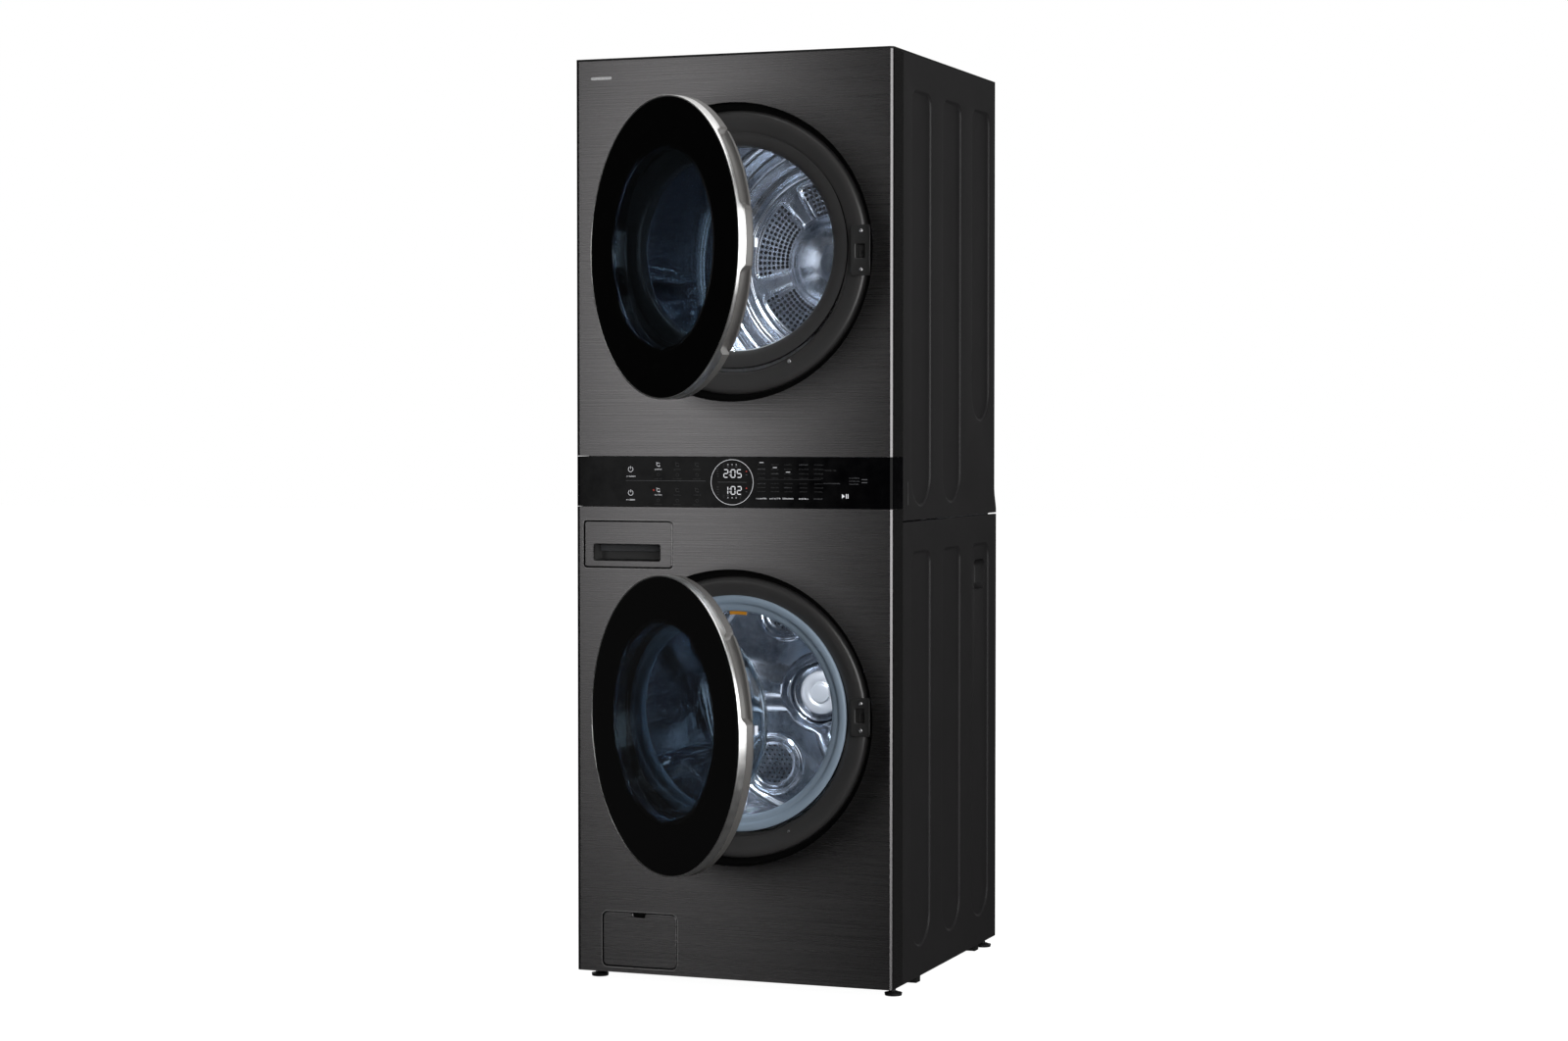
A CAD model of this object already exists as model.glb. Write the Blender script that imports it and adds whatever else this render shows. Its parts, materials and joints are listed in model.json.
import json
import math
import random

import bmesh
import bpy
import numpy as np
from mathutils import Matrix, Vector


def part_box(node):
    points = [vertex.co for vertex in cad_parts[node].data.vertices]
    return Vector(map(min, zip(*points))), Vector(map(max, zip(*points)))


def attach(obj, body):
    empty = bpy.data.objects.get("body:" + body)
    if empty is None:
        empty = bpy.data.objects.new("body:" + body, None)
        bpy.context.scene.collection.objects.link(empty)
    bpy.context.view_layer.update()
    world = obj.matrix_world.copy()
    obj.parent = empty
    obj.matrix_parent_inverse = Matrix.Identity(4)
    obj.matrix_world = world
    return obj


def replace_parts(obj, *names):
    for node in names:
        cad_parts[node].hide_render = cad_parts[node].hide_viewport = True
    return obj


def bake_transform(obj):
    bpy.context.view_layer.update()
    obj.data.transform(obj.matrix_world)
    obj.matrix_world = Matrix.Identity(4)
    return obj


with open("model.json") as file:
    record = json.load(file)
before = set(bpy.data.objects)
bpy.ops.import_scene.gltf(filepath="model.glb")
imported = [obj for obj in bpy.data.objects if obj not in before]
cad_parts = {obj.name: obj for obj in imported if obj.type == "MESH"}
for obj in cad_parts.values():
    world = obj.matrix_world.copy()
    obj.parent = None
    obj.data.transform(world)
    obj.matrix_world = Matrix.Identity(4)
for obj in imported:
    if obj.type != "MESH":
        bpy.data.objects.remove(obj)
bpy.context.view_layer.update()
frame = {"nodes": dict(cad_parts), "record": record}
random.seed(11)

# ---- places, from the CAD boxes
MM = 0.001
lo_f, hi_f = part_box("washer_front_panel")
FRONT = lo_f[1]
HALF_W = hi_f[0]
w_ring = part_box("washer_surround")
d_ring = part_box("dryer_surround")
w_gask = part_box("washer_gasket")
WZ = (w_ring[0][2] + w_ring[1][2]) / 2
DZ = (d_ring[0][2] + d_ring[1][2]) / 2
WM = (w_gask[0][2] + w_gask[1][2]) / 2
DM = DZ + WM - WZ
OPEN = math.radians(38)
HINGE_X = -0.289
HINGE_OUT = 0.014
HINGE = np.array((HINGE_X, FRONT - HINGE_OUT, 0))
LATCH_X = 270
DRYER_WALL_R = 317.0
WASHER_WALL_R = 275
BAFFLES = (70, 190, 310)
LIFTERS = (90, 210, 330)


def Y(d):
    """A depth in millimetres behind the front plane."""
    return FRONT + d * MM


def swing(co):
    """Turns closed-door points to where the door stands open."""
    p = np.asarray(co, float) - HINGE
    c, s = math.cos(-OPEN), math.sin(-OPEN)
    out = p.copy()
    out[:, 0] = c * p[:, 0] - s * p[:, 1]
    out[:, 1] = s * p[:, 0] + c * p[:, 1]
    return out + HINGE


# ---- materials
M = {}


def new_mat(name, color, rough=0.5, metal=0.0, spec=0.5, **more):
    """A plain material, kept in M under its name."""
    m = bpy.data.materials.new(name)
    m.use_nodes = True
    b = m.node_tree.nodes["Principled BSDF"]
    b.inputs["Base Color"].default_value = (*color, 1)
    b.inputs["Roughness"].default_value = rough
    b.inputs["Metallic"].default_value = metal
    b.inputs["Specular IOR Level"].default_value = spec
    for k, v in more.items():
        b.inputs[k.replace("_", " ")].default_value = v
    M[name] = m
    return m


def noise(m, scale, detail=3.0, size=1.0):
    """A noise field over the object's own coordinates, stretched by scale."""
    nt = m.node_tree
    tc = nt.nodes.new("ShaderNodeTexCoord")
    mp = nt.nodes.new("ShaderNodeMapping")
    mp.inputs["Scale"].default_value = scale
    nz = nt.nodes.new("ShaderNodeTexNoise")
    nz.inputs["Scale"].default_value = size
    nz.inputs["Detail"].default_value = detail
    nz.inputs["Roughness"].default_value = 0.62
    nt.links.new(tc.outputs["Object"], mp.inputs["Vector"])
    nt.links.new(mp.outputs["Vector"], nz.inputs["Vector"])
    return nz


def spread(m, src, lo, hi, to_lo, to_hi):
    """Maps a value from one range to another, held at the ends."""
    nt = m.node_tree
    r = nt.nodes.new("ShaderNodeMapRange")
    r.inputs["From Min"].default_value = lo
    r.inputs["From Max"].default_value = hi
    r.inputs["To Min"].default_value = to_lo
    r.inputs["To Max"].default_value = to_hi
    nt.links.new(src, r.inputs["Value"])
    return r.outputs["Result"]


def vary(m, nz, color=None, rough=None, bump=None, dist=0.0002):
    """Lets a noise field drive colour, roughness and bump of a material."""
    nt = m.node_tree
    b = nt.nodes["Principled BSDF"]
    if color:
        ramp = nt.nodes.new("ShaderNodeValToRGB")
        ramp.color_ramp.elements[0].position = 0.3
        ramp.color_ramp.elements[1].position = 0.7
        ramp.color_ramp.elements[0].color = (*color[0], 1)
        ramp.color_ramp.elements[1].color = (*color[1], 1)
        nt.links.new(nz.outputs["Fac"], ramp.inputs["Fac"])
        nt.links.new(ramp.outputs["Color"], b.inputs["Base Color"])
    if rough:
        nt.links.new(spread(m, nz.outputs["Fac"], 0.25, 0.75, *rough), b.inputs["Roughness"])
    if bump:
        bp = nt.nodes.new("ShaderNodeBump")
        bp.inputs["Strength"].default_value = bump
        bp.inputs["Distance"].default_value = dist
        nt.links.new(nz.outputs["Fac"], bp.inputs["Height"])
        if b.inputs["Normal"].is_linked:
            nt.links.new(b.inputs["Normal"].links[0].from_socket, bp.inputs["Normal"])
        nt.links.new(bp.outputs["Normal"], b.inputs["Normal"])
    return m


def brushed(name, color, rough, scale, amount=0.12, tone=0.16, grain=0.0):
    """Metal with fine lines along the axis whose scale is least; grain stretches its highlights."""
    m = new_mat(name, color, rough, 1.0)
    if grain:
        b = m.node_tree.nodes["Principled BSDF"]
        b.inputs["Anisotropic"].default_value = grain
        b.inputs["Anisotropic Rotation"].default_value = 0.25
        tg = m.node_tree.nodes.new("ShaderNodeTangent")
        tg.direction_type = "RADIAL"
        tg.axis = "Z"
        m.node_tree.links.new(tg.outputs["Tangent"], b.inputs["Tangent"])
    fine = noise(m, scale, 5.0)
    lo = tuple(c * (1 - tone) for c in color)
    hi = tuple(c * (1 + tone) for c in color)
    vary(m, fine, (lo, hi), (rough - 0.05, rough + 0.07), amount, 0.00008)
    return m


def moulded(name, color, rough, spec=0.5, grain=1800, amount=0.15, tone=0.06, **more):
    """Plastic, rubber or paint: a fine grain and a broad unevenness of tone."""
    m = new_mat(name, color, rough, 0.0, spec, **more)
    nz = noise(m, (1, 1, 1), 3.0, grain)
    vary(m, nz, None, (rough - 0.05, rough + 0.08), amount, 0.00006)
    broad = noise(m, (1, 1, 1), 2.0, 9)
    lo = tuple(c * (1 - tone) for c in color)
    hi = tuple(c * (1 + tone) for c in color)
    vary(m, broad, (lo, hi))
    return m


brushed("front_metal", (0.158, 0.154, 0.156), 0.27, (3.0, 900, 1300), grain=0.82)
moulded("side_paint", (0.017, 0.0165, 0.017), 0.40, 0.22, 900, 0.10)
moulded("black_metal", (0.012, 0.012, 0.012), 0.45, 0.3, 700, 0.1)
moulded("ring_plastic", (0.046, 0.045, 0.045), 0.33, 0.6, 2400, 0.1)
moulded("latch_plastic", (0.026, 0.026, 0.026), 0.36, 0.5, 2000, 0.1)
moulded("door_plastic", (0.12, 0.116, 0.112), 0.36, 0.5, 1500, 0.1)
brushed("band_chrome", (0.88, 0.875, 0.865), 0.36, (60, 60, 60), 0.0, 0.02)
brushed("stainless", (0.47, 0.50, 0.55), 0.16, (60, 4, 60), 0.0, 0.04)
moulded("hub_metal", (0.62, 0.62, 0.64), 0.35, 0.9, 300, 0.0, 0.02, Metallic=0.4)
brushed("dark_stainless", (0.30, 0.32, 0.36), 0.22, (60, 60, 60), 0.05, 0.08)
brushed("bare_steel", (0.6, 0.6, 0.61), 0.3, (200, 200, 200), 0.06)
brushed("galvanised", (0.55, 0.57, 0.6), 0.42, (70, 70, 70), 0.05, 0.2)
moulded("gasket_rubber", (0.27, 0.345, 0.43), 0.42, 0.4, 500, 0.06)
moulded("tub_plastic", (0.5, 0.53, 0.57), 0.45, 0.4, 500, 0.1)
moulded("white_plastic", (0.62, 0.64, 0.66), 0.4, 0.4, 700, 0.1)
moulded("casting", (0.2, 0.2, 0.2), 0.75, 0.3, 250, 0.5, 0.2)
brushed("copper", (0.7, 0.32, 0.14), 0.35, (300, 30, 300), 0.3)
moulded("board", (0.02, 0.11, 0.05), 0.4, 0.4, 800, 0.1)
moulded("belt_rubber", (0.012, 0.012, 0.012), 0.6, 0.3, 900, 0.2)
moulded("foot_rubber", (0.012, 0.012, 0.013), 0.5, 0.35, 900, 0.2)
moulded("strip_glass", (0.0012, 0.0012, 0.0016), 0.10, 0.07, 40, 0.0, 0.02)
brushed("badge_metal", (0.72, 0.72, 0.73), 0.3, (300, 300, 300), 0.04)
moulded("door_black", (0.0012, 0.0012, 0.0013), 0.06, 0.35, 40, 0.0)
moulded("orange", (0.62, 0.26, 0.02), 0.4, 0.4, 500, 0.1)
moulded("hole_dark", (0.004, 0.004, 0.005), 0.5, 0.2, 300, 0.1)
moulded("formed_edge", (0.30, 0.295, 0.295), 0.35, 0.6, 300, 0.1)
moulded("dark_gap", (0.002, 0.002, 0.002), 0.6, 0.1, 300, 0.1)
moulded("slot_grey", (0.06, 0.062, 0.066), 0.45, 0.4, 900, 0.1)


GLASS_IOR = 1.45


def clear(name, color):
    """Tinted clear glass, a little uneven."""
    m = new_mat(name, color, 0.0, Transmission_Weight=1.0, IOR=GLASS_IOR)
    nz = noise(m, (1, 1, 1), 2.0, 14)
    vary(m, nz, None, None, 0.03, 0.0008)
    return m


clear("bowl_glass", (0.86, 0.93, 0.97))
clear("door_glass", (0.10, 0.128, 0.155))


def glow(name, color, power):
    """A lit printed mark."""
    m = new_mat(name, (0.02, 0.02, 0.02), 0.4)
    b = m.node_tree.nodes["Principled BSDF"]
    b.inputs["Emission Color"].default_value = (*color, 1)
    b.inputs["Emission Strength"].default_value = power
    nz = noise(m, (1, 1, 1), 1.0, 60)
    vary(m, nz, None, (0.35, 0.45))
    return m


glow("glow_white", (0.95, 0.96, 1.0), 0.85)
glow("glow_grey", (0.8, 0.82, 0.88), 0.10)
glow("glow_dim", (0.8, 0.82, 0.88), 0.022)
glow("glow_red", (1.0, 0.08, 0.05), 0.5)

slot_of = {s["node"]: s["material_slot"] for s in frame["record"]["subparts"]}
for node, obj in frame["nodes"].items():
    mat = M["dark_stainless" if node.endswith("door_hardware") else slot_of[node]]
    for i in range(len(obj.material_slots)):
        obj.material_slots[i].material = mat


# ---- mesh helpers
def piece(name, bm, body, slot, mat=None, sharp=32, node=None):
    """Makes a mesh a piece on a body, in a slot, in place of a CAD node if one is named."""
    me = bpy.data.meshes.new(name)
    bmesh.ops.recalc_face_normals(bm, faces=bm.faces)
    limit = math.radians(sharp)
    for f in bm.faces:
        f.smooth = True
    for e in bm.edges:
        e.smooth = len(e.link_faces) == 2 and e.calc_face_angle(0) < limit
    bm.to_mesh(me)
    bm.free()
    o = bpy.data.objects.new(name, me)
    bpy.context.collection.objects.link(o)
    me.materials.append(mat or M[slot])
    if body:
        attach(o, body)
    if node:
        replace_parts(o, node)
    return o


def lathe_data(profile, z, segs=192, a0=0.0, a1=360.0, open_door=False, shape=None):
    """Turns a closed outline of (radius, depth) points in millimetres about a level line at height z."""
    full = abs(a1 - a0 - 360) < 1e-6
    n = segs if full else segs + 1
    angles = [math.radians(a0 + (a1 - a0) * i / segs) for i in range(n)]
    verts = []
    for a in angles:
        pts = shape(math.degrees(a), profile) if shape else profile
        for r, d in pts:
            verts.append((r * MM * math.cos(a), Y(d), z + r * MM * math.sin(a)))
    k = len(pts)
    faces = []
    for i in range(segs):
        j = (i + 1) % n
        for p in range(k):
            q = (p + 1) % k
            faces.append((i * k + p, i * k + q, j * k + q, j * k + p))
    if not full:
        faces.append(tuple(range(k)))
        faces.append(tuple(range((n - 1) * k, n * k))[::-1])
    v = np.array(verts)
    if open_door:
        v = swing(v)
    return v, faces


def lathe(name, profile, z, body, slot, node=None, mat=None, sharp=32, **k):
    """A turned piece; k holds what lathe_data takes."""
    v, f = lathe_data(profile, z, **k)
    bm = bmesh.new()
    vs = [bm.verts.new(p) for p in v]
    for q in f:
        if len(set(q)) >= 3:
            try:
                bm.faces.new([vs[i] for i in q])
            except ValueError:
                pass
    bmesh.ops.remove_doubles(bm, verts=bm.verts, dist=1e-6)
    return piece(name, bm, body, slot, mat, sharp, node)


def loop_chain(bm, loops, cap_last=False):
    """Bridges loops of equal length one after another. Returns the vertex loops."""
    rings = [[bm.verts.new(p) for p in l] for l in loops]
    for a, b in zip(rings, rings[1:]):
        n = len(a)
        for i in range(n):
            bm.faces.new((a[i], a[(i + 1) % n], b[(i + 1) % n], b[i]))
    if cap_last:
        bm.faces.new(rings[-1])
    return rings


def loop_edges(bm, ring):
    ends = zip(ring, ring[1:] + ring[:1])
    return [bm.edges.get(pair) or bm.edges.new(pair) for pair in ends]


def fill(bm, rings, normal):
    """Fills the flat face between an outline and the holes in it."""
    es = [e for r in rings for e in loop_edges(bm, r)]
    bmesh.ops.triangle_fill(bm, use_beauty=True, use_dissolve=False, edges=es, normal=normal)


def rrect(x0, x1, z0, z1, r, n=8, grow=0.0):
    """A rectangle with rounded corners of radius r, grown outwards by grow."""
    x0, x1, z0, z1, r = x0 - grow, x1 + grow, z0 - grow, z1 + grow, max(r + grow, 0.05)
    out = []
    for cx, cz, s in ((x1 - r, z0 + r, -90), (x1 - r, z1 - r, 0), (x0 + r, z1 - r, 90),
                      (x0 + r, z0 + r, 180)):
        for i in range(n + 1):
            a = math.radians(s + 90 * i / n)
            out.append((cx + r * math.cos(a), cz + r * math.sin(a)))
    return out


def front_loop(pts, d):
    """Points in the front plane's millimetres, at depth d, as places in metres."""
    return [(x * MM, Y(d), z * MM) for x, z in pts]


def slab(name, outlines, body, slot, d_face, d_back, edge=0.8, mat=None, node=None):
    """A plate facing -Y with rounded edges. outlines: function grow -> 2D points."""
    bm = bmesh.new()
    steps = [(-edge - 0.5, 0.0), (-edge, 0.0), (-edge * 0.6, edge * 0.08), (-edge * 0.29, edge * 0.29),
             (-edge * 0.08, edge * 0.6), (0, edge)]
    loops = [front_loop(outlines(g), d_face + d) for g, d in steps]
    loops.append(front_loop(outlines(0), d_back))
    rings = loop_chain(bm, loops)
    bm.faces.new(rings[0])
    bm.faces.new(rings[-1][::-1])
    return piece(name, bm, body, slot, mat, node=node)


def merged(name, mesh, body, slot, mat=None, sharp=32, node=None):
    """A piece from (points, faces); a face given twice is made once."""
    bm = bmesh.new()
    vs = [bm.verts.new(tuple(p)) for p in mesh[0]]
    for q in mesh[1]:
        try:
            bm.faces.new([vs[i] for i in q])
        except ValueError:
            pass
    return piece(name, bm, body, slot, mat, sharp, node)


# ---- side panels with pressed ribs
def rib_pts(y0, y1, z0, z1, rt, g, n=10):
    """A rib's outline, shrunk by g: round at the bottom, corners of radius rt at the top."""
    half = (y1 - y0) / 2
    yc = (y0 + y1) / 2
    out = []
    for i in range(2 * n + 1):
        a = math.pi + math.pi * i / (2 * n)
        out.append((yc + (half - g) * math.cos(a), z0 + half + (half - g) * math.sin(a)))
    for cy, s in ((y1 - rt, 0), (y0 + rt, 90)):
        for i in range(n + 1):
            a = math.radians(s + 90 * i / n)
            out.append((cy + (rt - g) * math.cos(a), z1 - rt + (rt - g) * math.sin(a)))
    return out


RIB_WALL = [(-1.4, 0.0), (0.0, 0.05), (1.1, 0.35), (2.2, 1.0), (3.6, 2.3), (5.0, 3.4), (6.2, 3.95),
            (7.6, 4.1), (9.0, 4.1)]


SKIN_RETURN = 6.0
HAND_CUP = [(0.8, 4.1), (0.2, 4.3), (0.0, 5.2), (0.0, 24), (-1.4, 27.4), (-4.0, 28.6)]
HAND_CUP_R = 16


def side_skin(name, node, side, outline, ribs, holes=(), hand=None):
    """A side panel from outside, with its ribs; hand is (rib number, cup rectangle)."""
    bm = bmesh.new()

    def put(pts, deep):
        return [Vector((side * (HALF_W - deep * MM), Y(d), z * MM)) for d, z in pts]

    rings = [loop_chain(bm, [put(outline, 0.0), put(outline, SKIN_RETURN)])[0]]
    for r in ribs:
        loops = [put(rib_pts(*r, g), deep) for g, deep in RIB_WALL]
        rr = loop_chain(bm, loops)
        rings.append(rr[0])
        if hand and r is ribs[hand[0]]:
            hl = [put(rrect(*hand[1], HAND_CUP_R, grow=g), deep) for g, deep in HAND_CUP]
            hr = loop_chain(bm, hl, cap_last=True)
            fill(bm, [rr[-1], hr[0]], (side, 0, 0))
        else:
            bm.faces.new(rr[-1])
    for loops in holes:
        hr = loop_chain(bm, [put(p, deep) for p, deep in loops], cap_last=True)
        rings.append(hr[0])
    fill(bm, rings, (side, 0, 0))
    return piece(name, bm, "cabinet", "side_paint", sharp=40, node=node)


def both_skins(tag, node, outline, ribs, holes=(), hand=None):
    for side, word in ((-1, "left"), (1, "right")):
        side_skin(f"{tag}_{word}", node, side, outline, ribs, holes, hand)


s_lo, s_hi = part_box("washer_side_panels")
u_lo, u_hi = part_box("dryer_side_panels")
top_z, mid_z = s_hi[2] / MM, u_lo[2] / MM
REAR_D = (s_hi[1] - FRONT) / MM
UP_D = (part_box("top_cover")[1][1] - FRONT) / MM
SIDE_D = 65
RIBS_D = (118, 324, 530)
RIB_WIDE = 132
RIB_CORNER = 28
low_ribs = [(d, d + RIB_WIDE, 81, 892, RIB_CORNER) for d in RIBS_D]
up_ribs = [(d, d + RIB_WIDE, z, 1822, RIB_CORNER) for d, z in zip(RIBS_D, (980, 982, 1153))]
low_out = [(SIDE_D, s_lo[2] / MM), (REAR_D, s_lo[2] / MM), (REAR_D, top_z), (SIDE_D, top_z)]
up_out = [(SIDE_D, mid_z), (REAR_D, mid_z), (REAR_D, mid_z + 8), (REAR_D - 4, mid_z + 20),
          (UP_D + 3, mid_z + 38),
          (UP_D, mid_z + 52), (UP_D, u_hi[2] / MM), (SIDE_D, u_hi[2] / MM)]
groove = [(rrect(96, 99, 985, 1034, 1.4, 4, grow=g), dd) for g, dd in ((0.3, 0.0), (0, 0.3), (-0.2, 1.6))]
both_skins("washer_side", "washer_side_panels", low_out, low_ribs, (), (2, (560, 640, 792, 856)))
both_skins("dryer_side", "dryer_side_panels", up_out, up_ribs, [groove])


# ---- drawer, filter door
def rounded(x0, x1, z0, z1, r):
    """A rounded rectangle as a function of how far it is grown."""
    return lambda g: rrect(x0, x1, z0, z1, r, grow=g)


dr_lo, dr_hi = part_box("drawer_front")
DX0, DX1, DZ0, DZ1 = dr_lo[0] / MM, dr_hi[0] / MM, dr_lo[2] / MM, dr_hi[2] / MM
DRAWER_R = 7
DRAWER_GAP = 0.5
SLOT = (-303.5, -156.5, 868.5, 902.5)
SLOT_R = 4


def drawer_face():
    bm = bmesh.new()
    out = rounded(DX0, DX1, DZ0, DZ1, DRAWER_R)
    steps = [(0, 12), (0, 1.7), (-0.3, 0.9), (-0.9, 0.3), (-1.8, 0.03), (-2.4, 0.0), (-3.2, 0.0)]
    rings = loop_chain(bm, [front_loop(out(g - DRAWER_GAP), d) for g, d in steps])
    slot = rounded(*SLOT, SLOT_R)
    inner = [(1.4, 0.0), (0.7, 0.0), (0.2, 0.2), (0.0, 0.7), (0.0, 6)]
    hole = loop_chain(bm, [front_loop(slot(g), d) for g, d in inner])
    fill(bm, [rings[-1], hole[0]], (0, -1, 0))
    piece("drawer_face", bm, "drawer", "front_metal", node="drawer_front")
    bm = bmesh.new()
    cavity = [(0.0, 5.5), (-0.3, 12), (-0.5, 33), (-2.0, 35.4), (-5.0, 36.0)]
    loop_chain(bm, [front_loop(slot(g), d) for g, d in cavity], cap_last=True)
    piece("drawer_cavity", bm, "drawer", "latch_plastic")
    band = rounded(SLOT[0] + 1.5, SLOT[1] - 1.5, SLOT[3] - 16, SLOT[3] - 2.0, 3)
    slab("drawer_grip", band, "drawer", "latch_plastic", 31, 36, 1.2, M["slot_grey"])


drawer_face()

FX0, FX1, FZ0, FZ1 = -285, -121, 34.5, 146.5
FILTER_R = 11
FILTER_GAP = 0.7
NOTCH_X0, NOTCH_X1, NOTCH_R = -217, -192, 4.0
NOTCH_DEEP = 8.5
TOP_CORNER = 17  # the last point of the outline's upper right corner


def notched(g):
    """The filter door's outline, with a finger notch in its upper edge."""
    top = FZ1 + g
    low = FZ1 - NOTCH_DEEP + g
    nx0, nx1, r = NOTCH_X0 + g, NOTCH_X1 - g, NOTCH_R

    def corner(cx, angles):
        turns = [math.radians(a) for a in angles]
        return [(cx + r * math.cos(t), low + r + r * math.sin(t)) for t in turns]

    out = []
    for i, p in enumerate(rrect(FX0, FX1, FZ0, FZ1, FILTER_R, grow=g)):
        out.append(p)
        if i == TOP_CORNER:
            out += [(nx1 + 1.5, top), (nx1, top - 1.5)]
            out += corner(nx1 - r, (0, -30, -60, -90))
            out += corner(nx0 + r, (-90, -120, -150, -180))
            out += [(nx0, top - 1.5), (nx0 - 1.5, top)]
    return out


def filter_cover():
    bm = bmesh.new()
    steps = [(0, 4), (0, 1.3), (-0.25, 0.7), (-0.7, 0.22), (-1.4, 0.02), (-1.8, 0.0), (-2.4, 0.0)]
    loop_chain(bm, [front_loop(notched(g - FILTER_GAP), d) for g, d in steps], cap_last=True)
    piece("filter_cover", bm, "filter_door", "front_metal", node="filter_door")
    bm = bmesh.new()
    pts = rrect(-216.4, -192.6, FZ1 - 8, FZ1 - 0.4, 3.2)
    loop_chain(bm, [front_loop(pts, 0.9), front_loop(pts, 2.5)])
    bm.faces.new(bm.verts[:len(pts)])
    piece("filter_notch", bm, "filter_door", "latch_plastic", M["dark_gap"])


filter_cover()


SEAM_OUT = 1.6
EDGE_IN, EDGE_OUT, EDGE_PROUD = 1.55, 2.6, 0.03


def seam_back(name, outline, d, inner=-1.0, lowest=0.0):
    """Dark backing seen through a seam, left out below the height lowest."""
    bm = bmesh.new()
    loop_chain(bm, [front_loop(outline(SEAM_OUT), d), front_loop(outline(inner), d)])
    swept = [f for f in bm.faces if f.calc_center_median().z < lowest * MM]
    bmesh.ops.delete(bm, geom=swept, context="FACES")
    piece(name, bm, "cabinet", "latch_plastic", M["dark_gap"])


def seam_edge(name, outline):
    """The panel's own pressed edge, which catches the light outside a seam."""
    bm = bmesh.new()
    loop_chain(bm, [front_loop(outline(g), -EDGE_PROUD) for g in (EDGE_OUT, EDGE_IN)])
    piece(name, bm, "cabinet", "front_metal", M["formed_edge"])


drawer_outline = rounded(DX0, DX1, DZ0, DZ1, DRAWER_R)
filter_outline = rounded(FX0, FX1, FZ0, FZ1, FILTER_R)
seam_edge("drawer_edge", drawer_outline)
seam_edge("filter_edge", filter_outline)
seam_back("drawer_seam", drawer_outline, 1.9)
seam_back("filter_seam", filter_outline, 4.6, -0.6, FZ0 + 14)


# ---- door recess rings
GROOVE = [(300.9, 1.2), (300.6, 6), (300.4, 27), (297, 27.6), (289, 27.6), (286.6, 27.0), (286.6, 28.6),
          (300.9, 28.8)]
RING_FACE = [(286.5, 29.0), (286.2, 24.6), (285.8, 21.5), (285.0, 18.2), (283.2, 15.6), (280.6, 13.8),
             (277, 12.8), (273, 12.6), (268, 13.3), (262, 14.8), (255, 17.0), (249, 19.0), (243.4, 20.6),
             (242.5, 21.9), (241.5, 21.9), (240.9, 20.7)]
RING_SEAM = [(240.0, 20.1), (242.1, 20.1), (242.1, 22.5), (240.0, 22.5)]
RING_BACK = [(240.9, 23.5), (246, 30.2), (256, 30.3), (270, 30.4), (284, 30.5)]


def dished(tag, z, slot_z, node):
    """A dished ring, set back behind the latch slot and behind the hinge plate."""
    def shape(a, profile):
        out = []
        for i, (r, d) in enumerate(profile):
            x, up = r * math.cos(math.radians(a)), r * math.sin(math.radians(a)) + z / MM
            in_slot = abs(x - LATCH_X) < 15 and abs(up - slot_z) < 20
            in_hinge = x < -248 and abs(up - z / MM) < 60
            back = i >= len(RING_FACE)
            if in_slot:
                d = 35.2 if back else 34.2
            elif in_hinge:
                d = 30.5 if back else max(d, 20.6)
            out.append((r, d))
        return out
    lathe(f"{tag}_recess", RING_FACE + RING_BACK, z, "cabinet", "ring_plastic", node=node, segs=360,
          sharp=50, shape=shape)
    dark = dict(segs=256, sharp=50, mat=M["dark_gap"])
    lathe(f"{tag}_seam_line", RING_SEAM, WM - WZ + z, "cabinet", "ring_plastic", **dark)
    lathe(f"{tag}_groove", GROOVE, z, "cabinet", "ring_plastic", **dark)


W_SLOT, D_SLOT = WM / MM + 4, DM / MM - 10
dished("washer", WZ, W_SLOT, "washer_surround")
dished("dryer", DZ, D_SLOT, "dryer_surround")
throat = [(240.7, 20.8), (238.5, 20.9), (230, 22.0), (218, 24.6), (210, 28.2), (206.8, 32), (206.0, 37),
          (206.0, 60), (208.5, 60), (208.5, 34), (240.7, 25)]
lathe("dryer_throat", throat, DM, "cabinet", "ring_plastic", segs=224, sharp=50)

# the light strip of the lint filter at the bottom of the throat
lint_lip = [(205.6, 38), (204.4, 39), (204.0, 42), (204.0, 48), (204.4, 51), (205.6, 52)]
lathe("lint_lip", lint_lip, DM, "lint_filter", "white_plastic", segs=60, a0=238, a1=302, sharp=50)


# ---- latch plates
PLATE_X0, PLATE_X1 = 249.5, 291.5
PLATE_CORNER = 7
PLATE_OUTER_R = 299.0


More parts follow.
